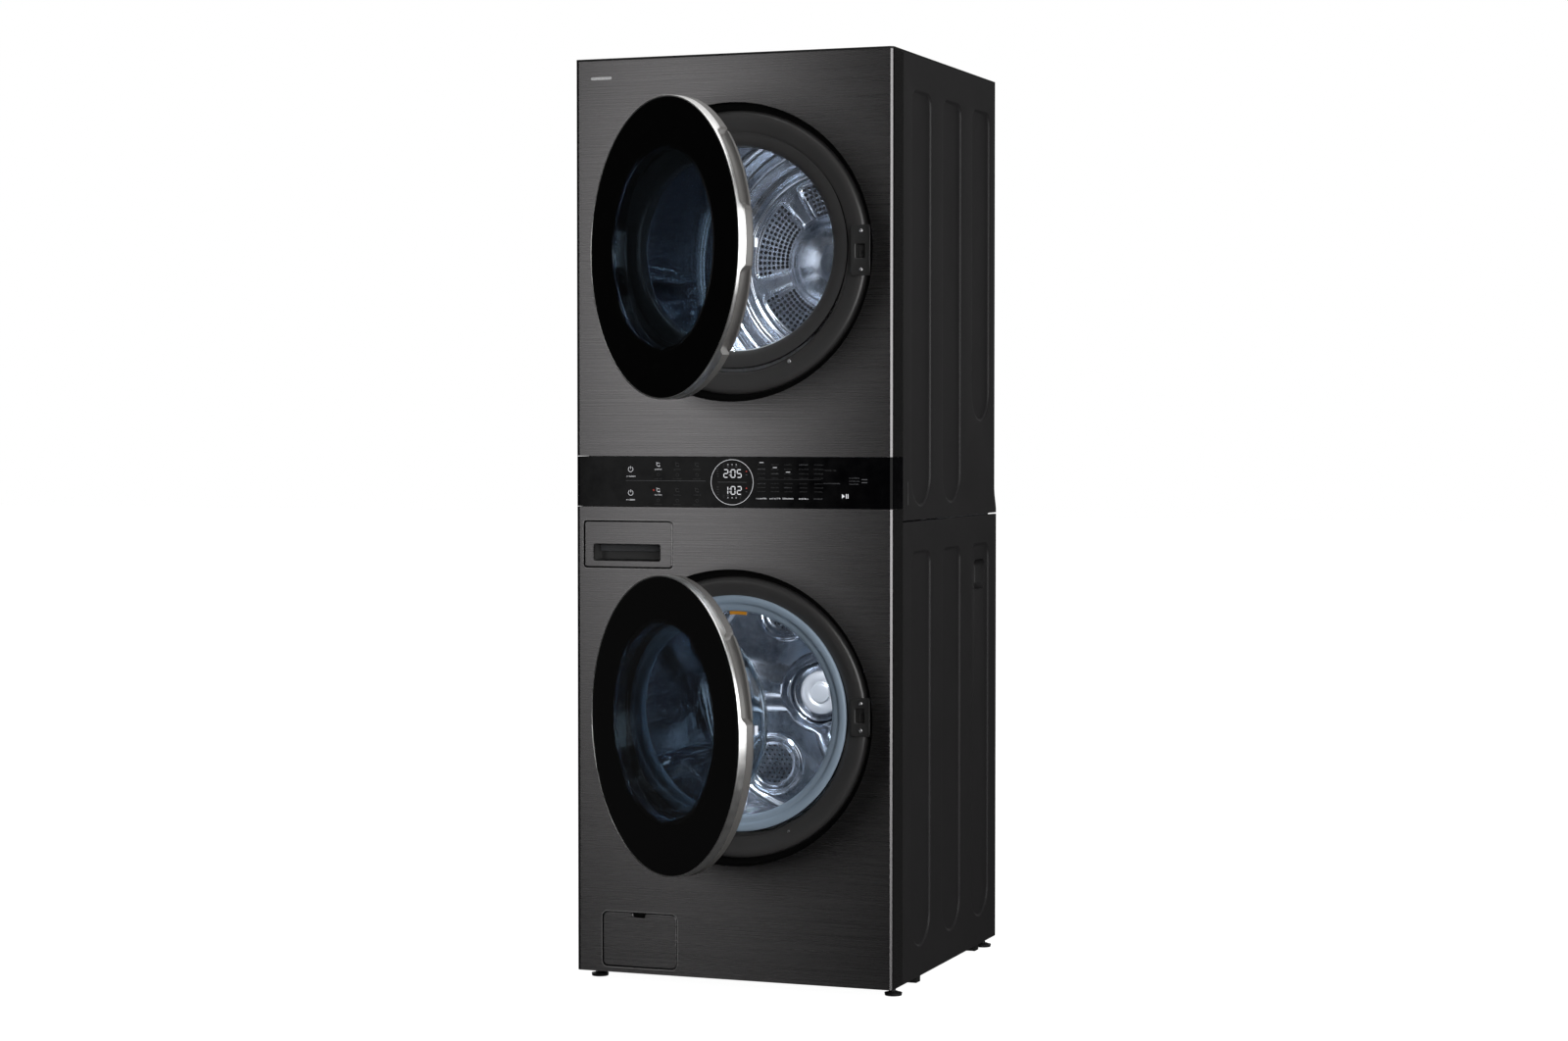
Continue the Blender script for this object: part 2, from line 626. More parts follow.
def latch(tag, z, z0, z1, slot_z):
    """A latch plate from z0 to z1 in the ring round height z, with its slot, cam and screws."""
    def outline(g):
        x0, x1 = PLATE_X0 - g, PLATE_X1 + g
        pts = []
        for zz in np.linspace(z0 - g, z1 + g, 15):
            pts.append((min(x1, math.sqrt((PLATE_OUTER_R + g) ** 2 - (zz - z) ** 2)), zz))
        n = 6
        r = PLATE_CORNER + g
        for cz, s in ((z1 + g - r, 90), (z0 - g + r, 180)):
            for i in range(n + 1):
                a = math.radians(s + 90 * i / n)
                pts.append((x0 + r + r * math.cos(a), cz + r * math.sin(a)))
        return pts

    bm = bmesh.new()
    steps = [(0, 26), (0, 12.6), (-0.4, 11.7), (-1.3, 11.3), (-2.2, 11.3)]
    rings = loop_chain(bm, [front_loop(outline(g), d) for g, d in steps])
    hole = rounded(LATCH_X - 9, LATCH_X + 9, slot_z - 14, slot_z + 14, 2.5)
    inner = [(2.4, 11.3), (1.4, 11.5), (0.5, 12.4), (0.0, 14), (0.0, 40)]
    hr = loop_chain(bm, [front_loop(hole(g), d) for g, d in inner], cap_last=True)
    fill(bm, [rings[-1], hr[0]], (0, -1, 0))
    piece(f"{tag}_latch_plate", bm, "cabinet", "latch_plastic", node="door_latches", sharp=40)
    lip = rounded(LATCH_X - 6, LATCH_X + 8.5, slot_z - 11, slot_z + 3, 1.5)
    slab(f"{tag}_latch_cam", lip, "cabinet", "bare_steel", 33, 38, 0.8, M["latch_plastic"])
    for k, zz in enumerate((z0 + 12, z1 - 12)):
        screw(f"{tag}_latch_screw_{k}", 272, zz, 11.2)


PAN_HEAD = ((1, 0.2), (1, -0.5), (0.93, -1.1), (0.75, -1.55), (0.55, -1.8))


def screw(name, x, z, d, r=4.0):
    """A pan head of radius r with a cross recess, on a face at depth d."""
    bm = bmesh.new()
    n = 40
    turns = [2 * math.pi * i / n for i in range(n)]
    loops = [front_loop([(x + r * part * math.cos(t), z + r * part * math.sin(t)) for t in turns], d + dd)
             for part, dd in PAN_HEAD]
    rings = loop_chain(bm, loops)
    w, l = r * 0.13, r * 0.46
    cross = [(w, l), (-w, l), (-w, w), (-l, w), (-l, -w), (-w, -w), (-w, -l), (w, -l), (w, -w), (l, -w),
             (l, w), (w, w)]
    cl = [front_loop([(x + a, z + b) for a, b in cross], d + dd) for dd in (-1.8, -0.6)]
    cr = loop_chain(bm, cl, cap_last=True)
    fill(bm, [rings[-1], cr[0]], (0, -1, 0))
    return piece(name, bm, "cabinet", "bare_steel", sharp=40)


latch("washer", WZ / MM, WZ / MM - 29.5, WZ / MM + 48.5, W_SLOT)
latch("dryer", DZ / MM, DZ / MM - 51, DZ / MM + 50, D_SLOT)
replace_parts(screw("surround_screw", 117, DZ / MM - 220, 18.6, 4.2), "panel_screws")
screw("surround_screw_low", 117, WZ / MM - 228, 18.2, 4.2)
for tag, z in (("washer", WZ), ("dryer", DZ)):
    for k, (x, up) in enumerate(((-262, -22), (-262, 22), (-275, -22), (-275, 22))):
        screw(f"{tag}_hinge_screw_{k}", x, z / MM + up, 14)


# ---- gasket
gasket_rim = [(240.1, 15.6), (239.4, 14.0), (237.0, 13.1), (232.5, 13.0), (227.5, 13.8), (224.4, 15.6),
              (223.2, 18.2), (221.6, 19.6),
              (217.0, 20.2), (212.5, 21.4), (209.0, 23.4), (207.4, 26.0), (207.0, 28.8), (207.9, 31.8),
              (211.0, 35.8), (217.5, 40.2),
              (226.0, 44.6), (234.0, 48.8), (237.6, 52.6), (237.2, 56.4), (232.0, 59.8), (227.4, 63.4),
              (226.1, 68), (226.0, 88.6),
              (230.0, 88.6), (230.2, 70), (232.0, 65.4), (238.4, 61.2), (241.6, 57.0), (241.8, 51.8),
              (237.0, 46.6), (231.0, 43.0),
              (231.0, 32), (234.0, 28.6), (240.1, 27.0)]
gasket = lathe("washer_boot", gasket_rim, WM, None, "gasket_rubber", node="washer_gasket", segs=224, sharp=75)
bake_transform(gasket)
tag_outline = [(207.3, 26.6), (200.6, 27.6), (200.2, 29.0), (200.6, 30.4), (207.8, 32.2)]
tag_mesh = lathe_data(tag_outline, WM, segs=16, a0=84, a1=94)
merged("boot_tag", tag_mesh, "cabinet", "gasket_rubber", M["orange"], 50)


# ---- drums
def cover(name, z, rings, sectors, height, body, node):
    """A pressed disc: rings is the list of radii, height(r, angle) the depth of its face."""
    bm = bmesh.new()
    grid = []
    for r in rings:
        row = []
        for j in range(sectors):
            a = 2 * math.pi * j / sectors
            row.append(bm.verts.new((r * MM * math.cos(a), Y(height(r, a)), z + r * MM * math.sin(a))))
        grid.append(row)
    for i in range(len(rings) - 1):
        for j in range(sectors):
            k = (j + 1) % sectors
            bm.faces.new((grid[i][j], grid[i][k], grid[i + 1][k], grid[i + 1][j]))
    bm.faces.new(grid[0][::-1])
    return piece(name, bm, body, "stainless", sharp=60, node=node)


def bump(x, mid, wide):
    """A smooth bump of height 1 round mid."""
    return math.exp(-((x - mid) / wide) ** 2)


def step(x, a, b):
    """Rises smoothly from 0 at a to 1 at b."""
    t = min(max((x - a) / (b - a), 0.0), 1.0)
    return t * t * (3 - 2 * t)


def quad_rings(b, n, count):
    """Faces between count + 1 rings of n points each, the first of them at index b."""
    out = []
    for k in range(count):
        for i in range(n):
            j = (i + 1) % n
            out.append((b + k * n + i, b + k * n + j, b + (k + 1) * n + j, b + (k + 1) * n + i))
    return out


HOLE_PROUD = 0.15


def dots(name, places, r, body, rim, n=10):
    """Small round holes: a dark disc and a bright pressed rim. places: (point, normal, up) in metres."""
    dark_v, dark_f, rim_v, rim_f = [], [], [], []
    for p, nrm, up in places:
        p, nrm, up = Vector(p), Vector(nrm).normalized(), Vector(up)
        side = up.cross(nrm).normalized()
        up = nrm.cross(side)
        base = len(dark_v)
        ring = []
        for i in range(n):
            a = 2 * math.pi * i / n
            w = side * math.cos(a) + up * math.sin(a)
            ring.append(w)
            dark_v.append(p + nrm * HOLE_PROUD * MM + w * r * MM)
        dark_f.append(tuple(range(base, base + n)))
        rim_f += quad_rings(len(rim_v), n, 2)
        for rim_r, high in ((r, 0.1), (r + rim * 0.5, 0.1 + rim * 0.55), (r + rim, 0.0)):
            for w in ring:
                rim_v.append(p + nrm * high * MM + w * rim_r * MM)
    merged(name, (dark_v, dark_f), body, "stainless", M["hole_dark"])
    merged(name + "_rims", (rim_v, rim_f), body, "stainless", None, 80)


# dryer drum
DB = 628
BACK_PROUD = 0.6
dome = [(0, -42), (20, -41.6), (40, -39.4), (58, -35), (72, -29.5), (84, -22), (92, -13), (98, -6.5),
        (104, -2.4), (110, 0)]


def dome_h(r):
    for (r0, h0), (r1, h1) in zip(dome, dome[1:]):
        if r <= r1:
            return h0 + (h1 - h0) * (r - r0) / (r1 - r0)
    return 0.0


PATCH = [math.radians(161 + 72 * k) for k in range(5)]
PATCH_MID_R, PATCH_HALF_R = 146, 42
PATCH_HALF_A = math.radians(31)
PATCH_CORNER = 13
PATCH_SPACE = 6


def turn_from(a, p):
    """The signed angle from p to a, within half a turn."""
    return (a - p + math.pi) % (2 * math.pi) - math.pi


def patch_gap(r, a):
    """How far a point is outside the nearest perforated patch, in millimetres."""
    best = 1e9
    for p in PATCH:
        u = abs(r - PATCH_MID_R) - PATCH_HALF_R + PATCH_CORNER
        v = abs(turn_from(a, p)) * r - PATCH_HALF_A * r + PATCH_SPACE + PATCH_CORNER
        best = min(best, math.hypot(max(u, 0), max(v, 0)) + min(max(u, v), 0) - PATCH_CORNER)
    return best


def dryer_back(r, a):
    """Depth of the dryer drum's back wall."""
    h = dome_h(r)
    g = patch_gap(r, a)
    h += -3.0 * bump(g, 1.5, 2.6) + 1.3 * (1 - step(g, -3, -0.5))
    h += -2.2 * bump(r, 98, 3.0) * (1 if r > 90 else 0)
    for bead_r, k in ((205, -3.4), (219, 2.2), (232, -2.2), (262, -3.0), (276, 2.0)):
        h += k * bump(r, bead_r, 3.6)
    h -= 7.5 * step(r, 300, 317)
    return DB + h - BACK_PROUD


radii = [2, *np.arange(6, 88, 3.2), *np.arange(88, 317, 1.35), 316.6]
cover("dryer_back_wall", DM, radii, 360, dryer_back, "dryer_drum", "dryer_drum_back")
places = []
for p in PATCH:
    for i in range(7):
        r = PATCH_MID_R + (i - 3) * 10.6
        for j in range(14):
            a = p + math.radians((j - 6.5) * 4.0)
            if patch_gap(r, a) < -7.5:
                at = (r * MM * math.cos(a), Y(dryer_back(r, a)), DM + r * MM * math.sin(a))
                places.append((at, (0, -1, 0), (0, 0, 1)))
dots("dryer_back_holes", places, 3.5, "dryer_drum", 0.9, 12)


def bead(d, half, high, top):
    """A rolled bead round the dryer drum's wall."""
    r = DRYER_WALL_R
    return [(r, d - half), (r - high, d - 2.6), (r - top, d), (r - high, d + 2.6), (r, d + half)]


wall = [(DRYER_WALL_R, 66.5)]
for d in (96, 110, 124):
    wall += bead(d, 7, 2.4, 3.0)
for d in (478, 494, 512, 530, 560, 576, 592):
    wall += bead(d, 6.5, 2.6, 3.2)
wall += [(316.8, 622), (318.1, 622), (318.1, 66.5)]
lathe("dryer_drum_wall", wall, DM, "dryer_drum", "stainless", node="dryer_drum_shell", segs=256, sharp=60)


def dimples(name, z, wall_r, r, high, body, rows, cols, skip):
    """Small pressed domes on a drum wall; skip lists (angle, half width) where there are none."""
    v, f = [], []
    n = 8
    for ci, a_deg in enumerate(cols):
        if any(abs((a_deg - s + 180) % 360 - 180) < w for s, w in skip):
            continue
        for ri, d in enumerate(rows):
            a = math.radians(a_deg)
            d2 = d + (rows[1] - rows[0]) / 2 * (ci % 2)
            c = Vector((wall_r * MM * math.cos(a), Y(d2), z + wall_r * MM * math.sin(a)))
            nrm = Vector((-math.cos(a), 0, -math.sin(a)))
            s1, s2 = Vector((0, 1, 0)), Vector((-math.sin(a), 0, math.cos(a)))
            b = len(v)
            for part, up in ((1.0, -0.15), (0.72, 0.55), (0.34, 0.92)):
                for i in range(n):
                    t = 2 * math.pi * i / n
                    v.append(c + nrm * high * up * MM + (s1 * math.cos(t) + s2 * math.sin(t)) * r * part * MM)
            f += quad_rings(b, n, 2)
            f.append(tuple(b + 2 * n + i for i in range(n)))
    merged(name, (v, f), body, "stainless", None, 70)


dimples("dryer_dimples", DM, DRYER_WALL_R, 5.2, 2.2, "dryer_drum", np.arange(146, 462, 15.0),
        np.arange(0, 360, 2.7), [(a, 9) for a in BAFFLES])


def ridge(name, z, a_deg, d0, d1, wall_r, high, base, top, body, node=None):
    """A lifter: a rounded hollow ridge whose ends slope down to the wall."""
    a0 = math.radians(a_deg)
    v, f = [], []
    ds = [0, 0.012, 0.04, 0.09, 0.16, 0.5, 0.84, 0.91, 0.96, 0.988, 1]
    lift = [0.0, 0.30, 0.62, 0.88, 1.0, 1.0, 1.0, 0.88, 0.62, 0.30, 0.0]
    prof = [(-base, 0), (-base * 0.8, 0.05), (-base * 0.5, 0.38), (-base * 0.3, 0.74), (-top, 0.95),
            (-top * 0.45, 1.0),
            (top * 0.45, 1.0), (top, 0.95), (base * 0.3, 0.74), (base * 0.5, 0.38), (base * 0.8, 0.05),
            (base, 0)]
    for t, l in zip(ds, lift):
        d = d0 + (d1 - d0) * t
        for s, h in prof:
            x, y = math.sqrt(max(wall_r ** 2 - s * s, 1)) - 0.3 - high * h * l, s * (0.86 + 0.14 * l)
            across, up = x * math.cos(a0) - y * math.sin(a0), x * math.sin(a0) + y * math.cos(a0)
            v.append((across * MM, Y(d), z + up * MM))
    k = len(prof)
    for i in range(len(ds) - 1):
        for j in range(k - 1):
            f.append((i * k + j, i * k + j + 1, (i + 1) * k + j + 1, (i + 1) * k + j))
    return merged(name, (v, f), body, "stainless", None, 50, node)


for i, a in enumerate(BAFFLES):
    ridge(f"dryer_baffle_{i}", DM, a, 141, 539, DRYER_WALL_R, 46, 40, 7, "dryer_drum", "dryer_baffles")

# washer drum
WB = 540
ARMS = [math.radians(a) for a in (55, 175, 295)]
CUPS = [math.radians(a) for a in (115, 235, 355)]
CUP_R = 196


def washer_back(r, a):
    """Depth of the washer drum's back wall, with its raised arms and perforated pockets."""
    h = 0.0
    for p in ARMS:
        da = turn_from(a, p)
        if abs(da) < math.pi / 2:
            s = r * math.sin(da)
            wide = 30 + 0.09 * r
            across = 1 - step(abs(s), wide * 0.2, wide * 1.4)
            h -= 17.0 * across * step(r, 30, 70) * (1 - step(r, 225, 268))
    h -= 12.0 * (1 - step(r, 62, 92))
    for p in CUPS:
        cx, cz = CUP_R * math.cos(p), CUP_R * math.sin(p)
        q = math.hypot(r * math.cos(a) - cx, r * math.sin(a) - cz)
        h += -4.6 * bump(q, 60, 5.0) + 5.6 * (1 - step(q, 46, 56)) - 1.2 * bump(q, 46, 2.5)
    h -= 9.0 * step(r, 256, 274.6)
    near = step(r, 61, 69)
    return WB + h * near - BACK_PROUD + 2.0 * (1 - near)


radii = [2, *np.arange(6, 60, 4.0), *np.arange(60, 274.6, 1.6), 274.6]
cover("washer_back_wall", WM, radii, 320, washer_back, "washer_drum", "washer_drum_back")
hub = [(0.01, 526.2), (17, 526.0), (20.2, 526.8), (21.4, 529.0), (21.6, 532.2), (24.2, 533.2), (27, 531.0),
       (33, 530.0), (40, 530.6), (45.5, 532.2), (47.2, 534.6), (47.6, 537.5), (47.6, 539.5), (0.01, 539.5)]
lathe("washer_hub", hub, WM, "washer_drum", "stainless", segs=96, sharp=40, mat=M["hub_metal"])
hub_ring = [(47.4, 535.5), (50, 533.6), (54, 530.4), (57.5, 527.6), (60.0, 526.6), (62.0, 527.2), (63.5, 530),
            (64.5, 539.5), (47.4, 539.5)]
lathe("washer_hub_ring", hub_ring, WM, "washer_drum", "stainless", segs=96, sharp=50, mat=M["dark_stainless"])
places = []
for p in CUPS:
    cx, cz = CUP_R * math.cos(p), CUP_R * math.sin(p)
    for i in range(-4, 5):
        for j in range(-4, 5):
            u, w = i * 11.5 + (j % 2) * 5.75, j * 10.0
            if math.hypot(u, w) < 42:
                x, zz = cx + u, cz + w
                r, a = math.hypot(x, zz), math.atan2(zz, x)
                places.append(((x * MM, Y(washer_back(r, a)), WM + zz * MM), (0, -1, 0), (0, 0, 1)))
dots("washer_back_holes", places, 2.4, "washer_drum", 1.0)
wwall = [(238.6, 116.6), (239.4, 113.2), (242.6, 111.9), (250, 111.6), (259, 112.0), (266, 113.6),
         (271, 116.8), (274, 121.4), (275, 128),
         (275, 300), (275, 500), (275, 535), (276.1, 535), (276.1, 126), (275, 120), (271.5, 114.2),
         (259, 110.3), (246, 110.0), (240, 112.0), (238.6, 114.5)]
lathe("washer_drum_wall", wwall, WM, "washer_drum", "stainless", node="washer_drum_shell", segs=224, sharp=60)
places = []
HOLE_R = WASHER_WALL_R - 0.1
for lift_a in LIFTERS:
    for ci, k in enumerate(np.arange(21, 99.1, 3.0)):
        for ri in range(25):
            d = 146 + ri * 15 + 7.5 * (ci % 2)
            if d > 522:
                continue
            a = math.radians(lift_a + k)
            at = (HOLE_R * MM * math.cos(a), Y(d), WM + HOLE_R * MM * math.sin(a))
            places.append((at, (-math.cos(a), 0, -math.sin(a)), (0, 1, 0)))
dots("washer_wall_holes", places, 2.0, "washer_drum", 1.3, 8)
for i, a in enumerate(LIFTERS):
    ridge(f"washer_lifter_{i}", WM, a, 161, 499, WASHER_WALL_R, 50, 33, 8, "washer_drum", "washer_lifters")


# ---- doors
def smooth_gate(a, spans, soft=2.6):
    """1 inside the angle spans, falling to 0 over a few degrees at their ends."""
    best = 0.0
    for a0, a1 in spans:
        mid, half = (a0 + a1) / 2, (a1 - a0) / 2
        off = abs((a - mid + 180) % 360 - 180)
        best = max(best, 1 - step(off, half - soft, half))
    return best


def mix(p, q, t):
    """A profile part way from p to q."""
    return [(a[0] + (b[0] - a[0]) * t, a[1] + (b[1] - a[1]) * t) for a, b in zip(p, q)]


BAND_LIP = [(294.5, -21.2), (294.5, -24.3), (294.8, -24.9), (295.4, -25.0), (296.3, -25.0), (297.0, -24.7),
            (297.4, -23.9), (297.5, -22.8)]
BAND = BAND_LIP + [(297.5, -15), (297.5, -8.9), (297.3, -8.2), (296.8, -8.0), (288.2, -8.0), (288.2, -21.2)]
BAND_CUT = BAND_LIP + [(297.5, -19.6), (297.3, -18.3), (296.6, -17.3), (295.2, -16.9), (288.2, -17.2),
                       (288.2, -21.2)]
RIM = [(288.0, -8.0), (296.4, -8.0), (297.0, -7.5), (297.1, -6.4), (297.1, 1.0), (297.1, 4.6), (296.6, 6.6),
       (295.2, 8.4), (293.2, 9.0),
       (290.6, 8.9), (288.8, 7.8), (287.0, 6.4), (284.4, 6.0)]
RIM_CUT = [(288.0, -17.0), (287.2, -16.6), (285.2, -15.2), (284.2, -12.6), (284.0, -8.0), (284.4, -3.0),
           (286.6, 0.8), (291.4, 2.8), (296.0, 3.6),
           (296.9, 5.2), (295.6, 8.2), (293.0, 9.0), (284.4, 6.0)]


GLASS_HOLE = 203
GLASS_FACE, GLASS_BACK = -25.0, -21.2


def make_door(tag, z, window_z, cuts):
    """A round door: its metal band, dark rim, black glass border and clear pane."""
    body = f"{tag}_door"
    lift = (window_z - z) / MM
    open_part = dict(open_door=True, sharp=38)

    def inner(a, r):
        """Radius of the window's edge from the door's own centre, at an angle."""
        t = math.radians(a)
        return lift * math.sin(t) + math.sqrt(r * r - (lift * math.cos(t)) ** 2)

    def band_shape(a, profile):
        return mix(BAND, BAND_CUT, smooth_gate(a, cuts))

    def rim_shape(a, profile):
        g = smooth_gate(a, cuts)
        tail = [(inner(a, 214), 6.0), (inner(a, 208), 5.4), (inner(a, 204.6), 4.2), (inner(a, 204.4), -20.6),
                (287.8, -20.6)]
        return mix(RIM, RIM_CUT, g) + tail

    lathe(f"{tag}_door_trim", BAND, z, body, "band_chrome", f"{body}_band", segs=432, shape=band_shape,
          **open_part)
    lathe(f"{tag}_door_rim", RIM, z, body, "door_plastic", f"{body}_frame", segs=432, shape=rim_shape,
          **open_part)

    def ring_shape(a, profile):
        hole = inner(a, GLASS_HOLE)
        face = [(inner(a, GLASS_HOLE + 0.2), GLASS_FACE), (inner(a, GLASS_HOLE + 1), GLASS_FACE),
                (292, GLASS_FACE)]
        edge = [(293.2, GLASS_FACE), (293.9, -24.8), (294.3, -24.3), (294.35, GLASS_BACK)]
        return [(hole, GLASS_BACK), (hole, -24.9)] + face + edge

    lathe(f"{tag}_glass_border", RIM, z, body, "door_glass", f"{body}_glass", M["door_black"], segs=256,
          shape=ring_shape, **open_part)
    side = [(0.01, GLASS_FACE), (120, GLASS_FACE), (GLASS_HOLE - 0.1, GLASS_FACE)]
    pane = side + [(r, -21.4) for r, d in side[::-1]]
    lathe(f"{tag}_glass_pane", pane, window_z, body, "door_glass", segs=192, **open_part)


make_door("washer", WZ, WM, [(5, 42)])
make_door("dryer", DZ, DZ, [(12, 48), (-46, -9)])

# glass bowl and inner window
bowl_out = [(203.6, -20), (203.6, 3), (202.4, 7.6), (199.4, 11.5), (196.2, 20), (190.4, 38), (184.2, 55),
            (178.6, 69), (171.6, 86), (163.6, 105), (158.6, 116.6),
            (154.6, 123.0), (149.6, 128.2), (143.0, 131.6), (128, 135.0), (108, 137.4), (70, 139.2),
            (35, 139.8), (0.01, 140)]
bowl_in = [(0.01, 135.6), (35, 135.4), (70, 134.8), (106, 132.9), (126, 130.4), (140, 127.4), (146, 124.2),
           (150.6, 119.8), (154.0, 114.4), (159, 103.4),
           (167, 84.4), (174, 67.4), (179.6, 53.4), (185.8, 36.4), (191.2, 18.8), (194.4, 8), (195.2, -20)]
window = dict(segs=224, open_door=True, sharp=60)
lathe("washer_bowl", bowl_out + bowl_in, WM, "washer_door", "bowl_glass", "washer_door_bowl", **window)
win_out = [(203.6, -20), (203.6, 3), (201, 7), (196, 12), (188, 18.4), (179, 23.6), (165, 27.2), (150, 29.4),
           (120, 31.8), (60, 33.6), (0.01, 34)]
win_in = [(0.01, 30.0), (60, 29.6), (118, 27.9), (148, 25.4), (163, 23.2), (176, 19.7), (185, 14.8),
          (192, 9), (195.2, 3), (195.2, -20)]
lathe("dryer_window", win_out + win_in, DZ, "dryer_door", "bowl_glass", "dryer_door_window", **window)


# ---- control strip
MARK_PROUD = 0.12


class Print:
    """Collects flat printed marks that lie just in front of the glass."""

    def __init__(self):
        self.v, self.f = [], []

    def poly(self, pts):
        b = len(self.v)
        self.v += front_loop(pts, -MARK_PROUD)
        self.f.append(tuple(range(b, b + len(pts))))

    def bar(self, x, z, w, h):
        self.poly([(x - w / 2, z - h / 2), (x + w / 2, z - h / 2), (x + w / 2, z + h / 2),
                   (x - w / 2, z + h / 2)])

    def arc(self, x, z, r, w, a0=0, a1=360, n=40):
        lo_r, hi_r = r - w / 2, r + w / 2
        for i in range(n):
            p, q = (math.radians(a0 + (a1 - a0) * k / n) for k in (i, i + 1))
            corners = ((lo_r, p), (hi_r, p), (hi_r, q), (lo_r, q))
            self.poly([(x + rad * math.cos(t), z + rad * math.sin(t)) for rad, t in corners])

    def word(self, x, z, w, h, seed=1):
        """A row standing in for small print: short strokes of uneven width that spell nothing."""
        rnd = random.Random(seed)
        at = x - w / 2
        while at < x + w / 2 - 0.4:
            cw = rnd.uniform(0.9, 1.6) * h * 0.55
            hh = h if rnd.random() < 0.35 else h * 0.72
            self.bar(at + 0.18 * h, z - (h - hh) / 2, 0.2 * h, hh)
            if rnd.random() < 0.7:
                self.bar(at + cw * 0.5, z - h * 0.42 if rnd.random() < 0.5 else z + h * 0.18, cw * 0.7,
                         0.18 * h)
            if rnd.random() < 0.6:
                self.bar(at + cw - 0.1 * h, z - (h - hh * 0.8) / 2 - h * 0.06, 0.18 * h, hh * 0.7)
            at += cw + 0.35 * h

    def digit(self, x, z, w, h, segs):
        t = 1.7
        level = {"a": h / 2, "g": 0, "d": -h / 2}
        upright = {"f": (-w / 2, h / 4), "b": (w / 2, h / 4), "e": (-w / 2, -h / 4), "c": (w / 2, -h / 4)}
        for k in segs:
            if k in level:
                self.bar(x, z + level[k], w - t, t)
            else:
                self.bar(x + upright[k][0], z + upright[k][1], t, h / 2 - t)

    def power(self, x, z, r):
        self.arc(x, z, r, 0.8, 118, 422, 30)
        self.bar(x, z + r * 0.72, 0.8, r * 1.05)

    def done(self, name, mat):
        merged(name, (self.v, self.f), "cabinet", "strip_glass", M[mat])


white, grey, dim, red = Print(), Print(), Print(), Print()
CX, CZ = 1.5, 1031
SEG = {"0": "abcdef", "1": "bc", "2": "abged", "5": "afgcd"}
for zz, txt in ((1048.5, "205"), (1014.5, "102")):
    for k, ch in enumerate(txt):
        white.digit(CX - 13.5 + (0, 15.5, 29.0)[k], zz, 8.6, 15.5, SEG[ch])
    white.bar(CX - 5.6, zz + 3, 1.5, 1.5)
    white.bar(CX - 5.6, zz - 3, 1.5, 1.5)
white.arc(CX, CZ, 45.6, 0.8, 0, 360, 96)
grey.bar(CX, CZ, 62, 0.5)
for k in range(5):
    for zz in (1066.5, 999.5):
        (white if k in (1, 2, 3) else dim).bar(CX - 18 + 9 * k, zz, 2.6, 0.9)
        (grey if k % 2 else dim).arc(CX - 18 + 9 * k, zz - 4 if zz > CZ else zz + 4, 1.5, 0.5, 0, 360, 12)
for k in range(4):
    dim.bar(CX - 31, 1058 - 5 * k, 4, 1.2)
    dim.bar(CX - 31, 1021 - 5 * k, 4, 1.2)
red.bar(CX + 31, 1053, 2.2, 2.2)
red.bar(CX + 31, 1019, 2.2, 2.2)
grey.bar(CX + 31, 1046, 3.5, 1.0)
grey.bar(CX + 31, 1012, 3.5, 1.0)
for zz in (1056, 1008):
    white.power(-221, zz, 5.2)
    white.word(-221, zz - 14, 19, 2.9, int(zz))
for i, x in enumerate((-160, -118, -75)):
    for zz in (1066, 1014):
        m = white if i == 0 else dim
        m.arc(x, zz, 3.4, 0.7, 20, 340, 16)
        m.bar(x + 2.5, zz - 3.6, 3.4, 0.8)
        m.bar(x - 3.5, zz + 3.8, 2.4, 0.8)
        m.word(x, zz - 9.5, 15, 2.6, i + int(zz))
        dim.arc(x, zz - 21, 3.0, 0.5, 0, 360, 14)
        dim.word(x, zz - 29, 17, 2.4, 7 * i + int(zz))
red.arc(-170, 1014, 1.4, 0.8, 0, 360, 10)
grey.bar(-144, 1033, 176, 0.45)
dim.bar(123, 1037, 138, 0.45)
for i, x in enumerate((65, 94, 122, 155, 187)):
    for j, zz in enumerate((1067, 1058, 1049, 1040)):
        m = grey if (i, j) in ((0, 1), (1, 2), (3, 0)) else dim
        m.word(x, zz, 19 if i > 2 else 16, 2.5, 31 * i + j)
    for j, zz in enumerate((1029, 1021, 1013)):
        (grey if (i, j) in ((0, 0), (2, 1)) else dim).word(x, zz, 17, 2.3, 47 * i + j)
    (white if i < 4 else grey).word(x, 999, 23 if i < 3 else 20, 3.1, 5 + i)
for k, (x, zz) in enumerate(((65, 1071), (94, 1061), (122, 1052))):
    white.bar(x, zz, 9, 1.0)
dim.word(212, 1056, 26, 2.6, 3)
grey.word(215, 1030, 34, 2.4, 4)
white.poly([(236.5, 1000), (236.5, 1009), (242.5, 1004.5)])
white.bar(245.6, 1004.5, 1.7, 9)
white.bar(249.2, 1004.5, 1.7, 9)
# rows of short strokes and two plain bars at the strip's end
for k, zz in enumerate((1041, 1035, 1029)):
    grey.word(262, zz, 20, 2.4, 60 + k)
grey.bar(284, 1038, 12, 1.4)
grey.bar(284, 1032, 12, 1.4)
white.done("strip_marks_bright", "glow_white")
grey.done("strip_marks_mid", "glow_grey")
dim.done("strip_marks_dim", "glow_dim")
red.done("strip_marks_red", "glow_red")

# the badge is one plain bar
badge_lo, badge_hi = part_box("name_badge")
bz = (badge_lo[2] + badge_hi[2]) / 2 / MM
badge = rounded(-308, -262, bz - 3.2, bz + 3.2, 3.0)
slab("badge_bar", badge, "cabinet", "badge_metal", -0.8, 0.0, 0.3, node="name_badge")


